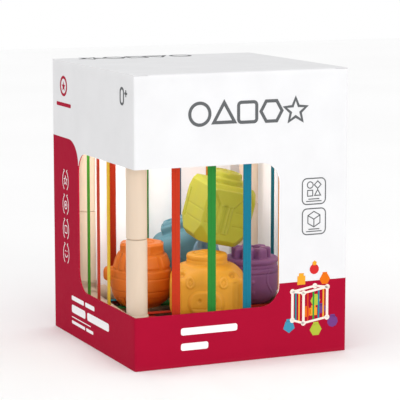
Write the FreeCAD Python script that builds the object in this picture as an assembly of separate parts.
"""Elastic-band sorting cage with six soft blocks, standing in its window carton.

Millimetres. +Z is up, the front is -Y. The origin is the middle of the carton's underside.
The carton is square in plan. Its window runs round the front left corner, so that corner's edge
is cut away over the window's height. The cage stands on a raised card insert, turned a little
in the carton. It is drawn square to the axes, about the middle, and turned when it is saved.
"""
import FreeCAD, Part
import math
import os

Vector = FreeCAD.Vector
UP = Vector(0, 0, 1)

# Carton
CARTON_SIDE = 165.0
CARTON_HEIGHT = 206.0
BOARD = 0.8
HALF = CARTON_SIDE / 2
INNER = HALF - BOARD
WALL_TOP = CARTON_HEIGHT - BOARD
WINDOW_BOTTOM = 37.8
WINDOW_TOP = 141.0
WINDOW_FRONT_END = 28.4
WINDOW_LEFT_END = 27.0
WINDOW_CORNER_R = 14.5
FLOOR_GAP = 0.3
TONGUE_DEPTH = 20.0
TONGUE_LEAN = 0.12
TONGUE_HALF_WIDTH = 72.0
TONGUE_GAP = 0.8
LID_HINGE_GAP = 0.3
FLAP_LENGTH = 62.0
FLAP_DROP = 0.3
FLAP_ROOT_HALF = 74.0
FLAP_TIP_HALF = 42.0
FLAP_TIP_EXTRA = 20.0
GLUE_TAB_WIDTH = 16.0
GLUE_TAB_MARGIN = 14.0

# Card insert under the cage
INSERT_TOP = 14.7
INSERT_HALF = 80.8
INSERT_HOLE_R = 4.0

# Cage: a post at each corner, a rail along each edge, a round connector at each corner
CAGE_SIDE = 133.0
CAGE_TURN = -5.0
CAGE_HALF = CAGE_SIDE / 2
BALL_R = 9.2
BALL_SEAT_GAP = 0.05
CAGE_BOTTOM = INSERT_TOP + math.sqrt(BALL_R ** 2 - INSERT_HOLE_R ** 2) + BALL_SEAT_GAP
CAGE_TOP = CAGE_BOTTOM + CAGE_SIDE
COLLAR_R = 8.2
COLLAR_LENGTH = 16.0
POST_COLLAR_LENGTH = 13.0
POST_R = 7.5
RAIL_R = 6.5
SPIGOT_R = 4.6
SOCKET_R = 4.65
SPIGOT_LENGTH = 8.0
SOCKET_LENGTH = 8.4
DOWEL_R = 3.5
DOWEL_GAP = 0.05
DOWEL_LENGTH = 12.0
SEAM_GAP = 0.3
SEAM_CHAMFER = 0.6

# Elastic bands: four on the front and the back, three on the other sides, four each way across
BAND_WIDTH = 6.5
BAND_THICKNESS = 1.1
BAND_PITCH = CAGE_SIDE / 5
FRONT_BANDS = [-1.5 * BAND_PITCH, -0.5 * BAND_PITCH, 0.5 * BAND_PITCH, 1.5 * BAND_PITCH]
SIDE_BAND_SHIFT = 6.0
SIDE_BANDS = [SIDE_BAND_SHIFT - BAND_PITCH, SIDE_BAND_SHIFT, SIDE_BAND_SHIFT + BAND_PITCH]
BACK_BAND_SHIFT = -3.5
BACK_BANDS = [position + BACK_BAND_SHIFT for position in FRONT_BANDS]
WRAP_GAP = 0.05
LEVEL_BAND_OFFSET = 1.0
LEVEL_BAND_DEPTH = 3.0
SLOT_MARGIN = 0.1

# Blocks stand on the lower bands. They are turned to face the window's corner.
BLOCK_YAW = -24.0
TRIM_SIZE = 120.0
BLOCK_FLOOR = CAGE_BOTTOM + LEVEL_BAND_OFFSET + BAND_THICKNESS / 2 + 0.1
KNOB_SINK = 2.0
BEAR_SIDE = 54.0
BEAR_HEIGHT = 37.6
BEAR_ROUND = 9.0
BEAR_KNOB = (15.0, 4.2, 11.5, 8.5)
BEAR_SNOUT = (26.0, 20.0, 2.5)
BEAR_SNOUT_BOTTOM = 2.5
BEAR_EAR_R = 5.0
BEAR_EAR_PLACE = (19.0, -16.0, 34.0)
BEAR_PLACE = (-4.3, -29.5)
HIVE_PROFILE = [(14.0, 0), (20.0, 5.5), (23.0, 20.5), (20.5, 34.0), (16.5, 41.5)]
HIVE_CAP_R = 17.5
HIVE_CAP_RISE = 7.3
HIVE_TAB = (6.0, 24.0, 5.5)
HIVE_PLACE = (-36.5, 17.3)
POT_PROFILE = [(13.5, 0), (17.6, 4.0), (21.5, 15.0), (20.5, 25.0), (17.0, 34.0)]
POT_KNOB_R = 11.5
POT_KNOB_RISE = 7.5
POT_LOBES = 7
POT_LOBE_R = 3.6
POT_PLACE = (44.4, -1.8)
OWL_SIZE = (48.0, 44.0, 48.0)
OWL_ROUND = 10.0
OWL_KNOB = (11.0, 6.0, 8.5, 8.0)
OWL_TILT = -20.0
OWL_PLACE = (10.2, 40.0, 53.4)
GEM_HALF = 19.8
GEM_HALF_HEIGHT = 22.3
GEM_EDGE_CUT = 1.4
GEM_LOWER_BEVEL = 4.0
GEM_UPPER_BEVEL = 3.0
GEM_UPPER_TIP_LEAN = 0.55
GEM_LOWER_TIP_LEAN = 0.9
GEM_LOWER_TIP_START = 8.0
GEM_UPPER_TIP_START = 10.0
GEM_KNOB = (13.2, 4.1, 11.3, 8.4)
GEM_TILT = 14.0
GEM_TWIST = 22.5
GEM_PLACE = (14.3, -8.1, 96.3)
CHICK_PROFILE = [(11.0, 0), (15.5, 5.0), (17.0, 14.0), (13.5, 24.0), (6.0, 29.0)]
CHICK_CROWN_R = 3.2
CHICK_CROWN_STEP = 4.5
CHICK_BEAK = (3.5, 1.0, 6.0, 17.0)
CHICK_BEAK_SINK = 2.0
CHICK_PLACE = (35.5, 43.0, 82.0)


def box(low, high):
    size = [h - l for l, h in zip(low, high)]
    return Part.makeBox(size[0], size[1], size[2], Vector(*low))


def rod(radius, start, direction, length):
    return Part.makeCylinder(radius, length, Vector(*start), Vector(*direction))


def prism(points, direction):
    """Flat outline of straight edges, pushed along a direction."""
    corners = [Vector(*p) for p in points]
    wire = Part.makePolygon(corners + corners[:1])
    return Part.Face(wire).extrude(Vector(*direction))


def save(name, shape):
    shape.exportStep(os.path.join("parts", name + ".step"))


def save_turned(name, shape):
    """Save a part of the cage, turned to the cage's place in the carton."""
    turned_shape = shape.copy()
    turned_shape.rotate(Vector(0, 0, 0), UP, CAGE_TURN)
    save(name, turned_shape)


# ---------------------------------------------------------------- carton

def window_tool(end, depth_low, depth_high, along_x):
    """Cutter of the window's outline: open past the corner, rounded at its far end."""
    start = -HALF - 5.0
    if along_x:
        block = box((start, depth_low, WINDOW_BOTTOM), (end, depth_high, WINDOW_TOP))
        across = 1
    else:
        block = box((depth_low, start, WINDOW_BOTTOM), (depth_high, end, WINDOW_TOP))
        across = 0
    rounded = []
    for edge in block.Edges:
        tangent = edge.tangentAt(edge.FirstParameter)
        middle = edge.CenterOfMass
        position = middle.x if along_x else middle.y
        if abs(tangent[across]) > 0.9 and position > end - 1.0:
            rounded.append(edge)
    return block.makeFillet(WINDOW_CORNER_R, rounded)


def carton_front():
    wall = box((-HALF, -HALF, 0), (HALF, -INNER, WALL_TOP))
    return wall.cut(window_tool(WINDOW_FRONT_END, -HALF - 1, -INNER + 1, True))


def carton_left():
    wall = box((-HALF, -INNER, 0), (-INNER, INNER, WALL_TOP))
    return wall.cut(window_tool(WINDOW_LEFT_END, -HALF - 1, -INNER + 1, False))


def carton_right():
    return box((INNER, -INNER, 0), (HALF, INNER, WALL_TOP))


def carton_back():
    return box((-HALF, INNER, 0), (HALF, HALF, WALL_TOP))


def carton_glue_tab():
    """Tab that joins the right wall to the back wall, inside the corner."""
    low = GLUE_TAB_MARGIN
    high = WALL_TOP - GLUE_TAB_MARGIN
    chamfer = GLUE_TAB_WIDTH / 2
    near = INNER - GLUE_TAB_WIDTH
    y = INNER
    outline = [(INNER, y, low), (INNER, y, high), (near, y, high - chamfer), (near, y, low + chamfer)]
    return prism(outline, (0, -BOARD / 2, 0))


def carton_floor():
    reach = INNER - FLOOR_GAP
    return box((-reach, -reach, 0), (reach, reach, BOARD))


def carton_lid():
    """Top panel with its tucked tongue, which leans in from the front wall."""
    rear = HALF - LID_HINGE_GAP
    panel = box((-HALF, -HALF, WALL_TOP), (HALF, rear, CARTON_HEIGHT))
    top_y = -INNER + TONGUE_GAP
    low_y = top_y + TONGUE_DEPTH * TONGUE_LEAN
    low_z = WALL_TOP - TONGUE_DEPTH
    half = TONGUE_HALF_WIDTH
    section = [(-half, top_y, WALL_TOP), (-half, top_y + BOARD, WALL_TOP),
               (-half, low_y + BOARD, low_z), (-half, low_y, low_z)]
    tongue = prism(section, (2 * half, 0, 0))
    blank = box((-half, -HALF, low_z), (half, 0, CARTON_HEIGHT))
    corners = [e for e in blank.Edges if e.Length > HALF - 1 and e.Length < HALF + 1
               and e.CenterOfMass.z < low_z + 1]
    tongue = tongue.common(blank.makeFillet(TONGUE_DEPTH * 0.6, corners))
    return panel.fuse(tongue).removeSplitter()


def dust_flap(side):
    """Side flap under the lid, narrower towards its tip so that the lid clears it while opening."""
    top = WALL_TOP - FLAP_DROP
    root = INNER - FLAP_DROP
    tip = root - FLAP_LENGTH
    outline = [(side * root, -FLAP_ROOT_HALF, top), (side * root, FLAP_ROOT_HALF, top),
               (side * tip, FLAP_TIP_HALF, top), (side * tip, -FLAP_TIP_HALF - FLAP_TIP_EXTRA, top)]
    return prism(outline, (0, 0, -BOARD))


def insert_tray():
    """Folded card platform: a top with four locating holes, and a skirt on each side."""
    reach = INSERT_HALF
    tray = box((-reach, -reach, BOARD), (reach, reach, INSERT_TOP))
    inside = reach - BOARD
    tray = tray.cut(box((-inside, -inside, 0), (inside, inside, INSERT_TOP - BOARD)))
    for x, y in cage_corners():
        hole = rod(INSERT_HOLE_R, (x, y, 0), (0, 0, 1), INSERT_TOP + 1)
        hole.rotate(Vector(0, 0, 0), UP, CAGE_TURN)
        tray = tray.cut(hole)
    return tray


# ---------------------------------------------------------------- cage

def cage_corners():
    return [(x, y) for y in (-CAGE_HALF, CAGE_HALF) for x in (-CAGE_HALF, CAGE_HALF)]


def inward(value, middle):
    return 1 if value < middle else -1


def connector(x, y, z):
    """Round corner piece with three collars, each with a blind socket."""
    directions = [(inward(x, 0), 0, 0), (0, inward(y, 0), 0), (0, 0, inward(z, seam_height()))]
    centre = Vector(x, y, z)
    body = Part.makeSphere(BALL_R, centre)
    for direction in directions:
        length = POST_COLLAR_LENGTH if direction[2] else COLLAR_LENGTH
        body = body.fuse(rod(COLLAR_R, (x, y, z), direction, length))
    body = body.removeSplitter()
    for direction in directions:
        length = POST_COLLAR_LENGTH if direction[2] else COLLAR_LENGTH
        mouth = centre + Vector(*direction) * (length - SOCKET_LENGTH)
        body = body.cut(rod(SOCKET_R, tuple(mouth), direction, SOCKET_LENGTH + 1))
    return body


def spigotted(radius, start, direction, length):
    """Bar with a thinner spigot at each end."""
    step = Vector(*direction)
    begin = Vector(*start)
    bar = rod(radius, tuple(begin), direction, length)
    pin_start = begin - step * SPIGOT_LENGTH
    pin = rod(SPIGOT_R, tuple(pin_start), direction, length + 2 * SPIGOT_LENGTH)
    return bar.fuse(pin).removeSplitter()


def rail(along_x, side, level):
    """Rail with pockets on its inner side for the ends of the level bands."""
    half = BAND_WIDTH / 2 + SLOT_MARGIN
    thin = BAND_THICKNESS / 2 + SLOT_MARGIN
    depth = side + inward(side, 0) * (RAIL_R - LEVEL_BAND_DEPTH)
    mouth = side + inward(side, 0) * RAIL_R
    low_in, high_in = sorted((depth, mouth))
    cross = level_band_height(level, not along_x)
    start = -CAGE_HALF + COLLAR_LENGTH
    length = CAGE_SIDE - 2 * COLLAR_LENGTH
    begin = (start, side, level) if along_x else (side, start, level)
    body = spigotted(RAIL_R, begin, (1, 0, 0) if along_x else (0, 1, 0), length)
    for position in FRONT_BANDS:
        low, high = position - half, position + half
        if along_x:
            body = body.cut(box((low, low_in, cross - thin), (high, high_in, cross + thin)))
        else:
            body = body.cut(box((low_in, low, cross - thin), (high_in, high, cross + thin)))
    return body


def post_lower(x, y):
    """Lower half of a post, with the dowel that the upper half fits over."""
    start = CAGE_BOTTOM + POST_COLLAR_LENGTH
    end = seam_height()
    half = rod(POST_R, (x, y, start), (0, 0, 1), end - start)
    half = chamfer_at(half, end)
    half = half.fuse(rod(SPIGOT_R, (x, y, start - SPIGOT_LENGTH), (0, 0, 1), SPIGOT_LENGTH + 1))
    half = half.fuse(rod(DOWEL_R, (x, y, end - 1), (0, 0, 1), DOWEL_LENGTH + 1))
    return half.removeSplitter()


def post_upper(x, y):
    start = seam_height() + SEAM_GAP
    end = CAGE_TOP - POST_COLLAR_LENGTH
    half = rod(POST_R, (x, y, start), (0, 0, 1), end - start)
    half = chamfer_at(half, start)
    half = half.fuse(rod(SPIGOT_R, (x, y, end - 1), (0, 0, 1), SPIGOT_LENGTH + 1))
    bore = rod(DOWEL_R + DOWEL_GAP, (x, y, start - 1), (0, 0, 1), DOWEL_LENGTH + 2)
    return half.removeSplitter().cut(bore)


def seam_height():
    return (CAGE_BOTTOM + CAGE_TOP) / 2


def chamfer_at(shape, height):
    edges = [e for e in shape.Edges if abs(e.CenterOfMass.z - height) < 0.01 and e.Length > 30]
    return shape.makeChamfer(SEAM_CHAMFER, edges)


# ---------------------------------------------------------------- bands

def level_band_height(level, along_x):
    """Bands along X lie nearer the cage's middle than those along Y, so the two sets cross clear."""
    offset = LEVEL_BAND_OFFSET if along_x else -LEVEL_BAND_OFFSET
    return level + inward(level, seam_height()) * offset


def side_band(position):
    """Upright band of the front side, lying on the rails' outer face, each end turned round its rail."""
    half = BAND_WIDTH / 2
    inner = RAIL_R + WRAP_GAP
    outer = inner + BAND_THICKNESS
    low, high = position - half, position + half
    band = box((low, -CAGE_HALF - outer, CAGE_BOTTOM), (high, -CAGE_HALF - inner, CAGE_TOP))
    for level in (CAGE_BOTTOM, CAGE_TOP):
        start = (low, -CAGE_HALF, level)
        ring = rod(outer, start, (1, 0, 0), BAND_WIDTH).cut(rod(inner, start, (1, 0, 0), BAND_WIDTH))
        low_z, high_z = sorted((level, level - inward(level, seam_height()) * (outer + 1)))
        quarter = box((low - 1, -CAGE_HALF - outer - 1, low_z), (high + 1, -CAGE_HALF, high_z))
        band = band.fuse(ring.common(quarter))
    return band.removeSplitter()


def level_bands(level, along_x):
    """The four level bands of one direction at the cage's bottom or top."""
    half = BAND_WIDTH / 2
    thin = BAND_THICKNESS / 2
    z = level_band_height(level, along_x)
    reach = CAGE_HALF - RAIL_R + LEVEL_BAND_DEPTH - SLOT_MARGIN
    strips = []
    for position in FRONT_BANDS:
        low, high = position - half, position + half
        if along_x:
            strips.append(box((-reach, low, z - thin), (reach, high, z + thin)))
        else:
            strips.append(box((low, -reach, z - thin), (high, reach, z + thin)))
    return Part.makeCompound(strips)


# ---------------------------------------------------------------- blocks

def placed(shape, place, height, tilt=0.0, twist=0.0):
    """Twist about the upright axis, tilt sideways, face the window's corner, then set down."""
    facing = FreeCAD.Rotation(UP, BLOCK_YAW)
    lean = FreeCAD.Rotation(Vector(0, 1, 0), tilt)
    spin = FreeCAD.Rotation(UP, twist)
    result = shape.copy()
    rotation = facing.multiply(lean).multiply(spin)
    result.Placement = FreeCAD.Placement(Vector(place[0], place[1], height), rotation)
    return result


def soft_box(width, depth, height, rounding):
    block = Part.makeBox(width, depth, height, Vector(-width / 2, -depth / 2, 0))
    return block.makeFillet(rounding, block.Edges)


def stepped_knob(base, sizes):
    lower_r, lower_h, upper_r, upper_h = sizes
    knob = rod(lower_r, (0, 0, base - KNOB_SINK), (0, 0, 1), lower_h + KNOB_SINK)
    return knob.fuse(rod(upper_r, (0, 0, base - KNOB_SINK), (0, 0, 1), upper_h + KNOB_SINK))


def turned(profile):
    """Solid of revolution about Z through points of (radius, height), smoothed by a curve."""
    curve = Part.BSplineCurve()
    curve.interpolate([Vector(r, 0, z) for r, z in profile])
    bottom = Vector(0, 0, profile[0][1])
    top = Vector(0, 0, profile[-1][1])
    edges = [Part.makeLine(bottom, Vector(profile[0][0], 0, profile[0][1])), curve.toShape(),
             Part.makeLine(Vector(profile[-1][0], 0, profile[-1][1]), top), Part.makeLine(top, bottom)]
    return Part.Face(Part.Wire(edges)).revolve(Vector(0, 0, 0), UP, 360)


def bear_block():
    body = soft_box(BEAR_SIDE, BEAR_SIDE, BEAR_HEIGHT, BEAR_ROUND)
    body = body.fuse(stepped_knob(BEAR_HEIGHT, BEAR_KNOB))
    width, height, rounding = BEAR_SNOUT
    snout = soft_box(width, 4 * rounding, height, rounding)
    snout.translate(Vector(0, -BEAR_SIDE / 2 + rounding, BEAR_SNOUT_BOTTOM))
    body = body.fuse(snout)
    for side in (-1, 1):
        across, depth, up = BEAR_EAR_PLACE
        body = body.fuse(Part.makeSphere(BEAR_EAR_R, Vector(side * across, depth, up)))
    return placed(body.removeSplitter(), BEAR_PLACE, BLOCK_FLOOR)


def hive_block():
    body = turned(HIVE_PROFILE)
    top = HIVE_PROFILE[-1][1]
    corners = [math.radians(22.5 + 45 * i) for i in range(8)]
    outline = [(HIVE_CAP_R * math.cos(a), HIVE_CAP_R * math.sin(a), top - KNOB_SINK) for a in corners]
    cap = prism(outline, (0, 0, HIVE_CAP_RISE + KNOB_SINK))
    reach, height, radius = HIVE_TAB
    widest = HIVE_PROFILE[2][0]
    tab = rod(radius, (-widest - reach, 0, height), (1, 0, 0), reach + widest / 2)
    return placed(body.fuse(cap).fuse(tab).removeSplitter(), HIVE_PLACE, BLOCK_FLOOR)


def pot_block():
    body = turned(POT_PROFILE)
    base = POT_PROFILE[-1][1] - KNOB_SINK
    rise = POT_KNOB_RISE + KNOB_SINK
    knob = rod(POT_KNOB_R, (0, 0, base), (0, 0, 1), rise)
    for i in range(POT_LOBES):
        angle = 2 * math.pi * i / POT_LOBES
        place = (POT_KNOB_R * math.cos(angle), POT_KNOB_R * math.sin(angle), base)
        knob = knob.fuse(rod(POT_LOBE_R, place, (0, 0, 1), rise))
    return placed(body.fuse(knob).removeSplitter(), POT_PLACE, BLOCK_FLOOR)


def owl_block():
    width, depth, height = OWL_SIZE
    body = soft_box(width, depth, height, OWL_ROUND)
    body.translate(Vector(0, 0, -height / 2))
    top = height / 2
    lower, lower_h, upper, upper_h = OWL_KNOB
    body = body.fuse(box((-lower, -lower, top - KNOB_SINK), (lower, lower, top + lower_h)))
    body = body.fuse(box((-upper, -upper, top - KNOB_SINK), (upper, upper, top + upper_h)))
    return placed(body.removeSplitter(), OWL_PLACE, OWL_PLACE[2], OWL_TILT)


def trimmed(shape, direction, distance):
    """Cut off what lies beyond a plane, given by its direction and its distance from the middle."""
    normal = Vector(*direction).normalize()
    tool = Part.makeBox(TRIM_SIZE, TRIM_SIZE, TRIM_SIZE, Vector(-TRIM_SIZE / 2, -TRIM_SIZE / 2, 0))
    tool.Placement = FreeCAD.Placement(normal * distance, FreeCAD.Rotation(UP, normal))
    return shape.cut(tool)


def tip_distance(half, lean, start):
    """How far from the middle a tip's cut lies when it leaves the upright edge at the start height."""
    return (2 * half + lean * start) / math.sqrt(2 + lean ** 2)


def gem_block():
    """Square block with bevels above and below and a slanting cut off each of its eight tips."""
    half, half_height = GEM_HALF, GEM_HALF_HEIGHT
    body = box((-half, -half, -half_height), (half, half, half_height))
    diagonal = math.sqrt(2)
    lower_tip = tip_distance(half, GEM_LOWER_TIP_LEAN, GEM_LOWER_TIP_START)
    upper_tip = tip_distance(half, GEM_UPPER_TIP_LEAN, GEM_UPPER_TIP_START)
    lower_edge = (half + half_height - GEM_LOWER_BEVEL) / diagonal
    upper_edge = (half + half_height - GEM_UPPER_BEVEL) / diagonal
    for a in (-1, 1):
        for direction in ((a, 0), (0, a)):
            body = trimmed(body, (direction[0], direction[1], -1), lower_edge)
            body = trimmed(body, (direction[0], direction[1], 1), upper_edge)
        for b in (-1, 1):
            body = trimmed(body, (a, b, 0), (2 * half - GEM_EDGE_CUT) / diagonal)
            body = trimmed(body, (a, b, -GEM_LOWER_TIP_LEAN), lower_tip)
            body = trimmed(body, (a, b, GEM_UPPER_TIP_LEAN), upper_tip)
    body = body.fuse(stepped_knob(half_height, GEM_KNOB))
    return placed(body.removeSplitter(), GEM_PLACE, GEM_PLACE[2], GEM_TILT, GEM_TWIST)


def chick_block():
    body = turned(CHICK_PROFILE)
    top = CHICK_PROFILE[-1][1]
    for offset in (-CHICK_CROWN_STEP, 0.0, CHICK_CROWN_STEP):
        body = body.fuse(Part.makeSphere(CHICK_CROWN_R, Vector(offset, 0, top)))
    root_r, tip_r, length, height = CHICK_BEAK
    front = -CHICK_PROFILE[2][0] + CHICK_BEAK_SINK
    beak = Part.makeCone(root_r, tip_r, length, Vector(0, front, height), Vector(0, -1, 0))
    return placed(body.fuse(beak).removeSplitter(), CHICK_PLACE, CHICK_PLACE[2])


# ---------------------------------------------------------------- the whole

def build_carton():
    save("carton_front", carton_front())
    save("carton_left", carton_left())
    save("carton_right", carton_right())
    save("carton_back", carton_back())
    save("carton_glue_tab", carton_glue_tab())
    save("carton_floor", carton_floor())
    save("carton_lid", carton_lid())
    save("dust_flap_left", dust_flap(-1))
    save("dust_flap_right", dust_flap(1))
    save("insert_tray", insert_tray())


def corner_name(x, y):
    return ("front" if y < 0 else "back") + "_" + ("left" if x < 0 else "right")


def build_cage():
    for x, y in cage_corners():
        save_turned("connector_bottom_" + corner_name(x, y), connector(x, y, CAGE_BOTTOM))
        save_turned("connector_top_" + corner_name(x, y), connector(x, y, CAGE_TOP))
        save_turned("post_lower_" + corner_name(x, y), post_lower(x, y))
        save_turned("post_upper_" + corner_name(x, y), post_upper(x, y))
    for level_name, level in (("bottom", CAGE_BOTTOM), ("top", CAGE_TOP)):
        save_turned("rail_" + level_name + "_front", rail(True, -CAGE_HALF, level))
        save_turned("rail_" + level_name + "_back", rail(True, CAGE_HALF, level))
        save_turned("rail_" + level_name + "_left", rail(False, -CAGE_HALF, level))
        save_turned("rail_" + level_name + "_right", rail(False, CAGE_HALF, level))


def build_bands():
    """Side bands are drawn on the front side and turned by quarters to the other sides."""
    sides = (("front", 0, FRONT_BANDS), ("right", 90, SIDE_BANDS),
             ("back", 180, [-position for position in BACK_BANDS]),
             ("left", 270, [-position for position in SIDE_BANDS]))
    for name, quarter, positions in sides:
        for number, position in enumerate(positions, 1):
            band = side_band(position)
            band.rotate(Vector(0, 0, 0), UP, quarter)
            save_turned("band_%s_%d" % (name, number), band)
    save_turned("bands_bottom_across", level_bands(CAGE_BOTTOM, True))
    save_turned("bands_bottom_along", level_bands(CAGE_BOTTOM, False))
    save_turned("bands_top_across", level_bands(CAGE_TOP, True))
    save_turned("bands_top_along", level_bands(CAGE_TOP, False))


def build_blocks():
    save("block_bear", bear_block())
    save("block_hive", hive_block())
    save("block_pot", pot_block())
    save("block_owl", owl_block())
    save("block_gem", gem_block())
    save("block_chick", chick_block())


os.makedirs("parts", exist_ok=True)
build_carton()
build_cage()
build_bands()
build_blocks()
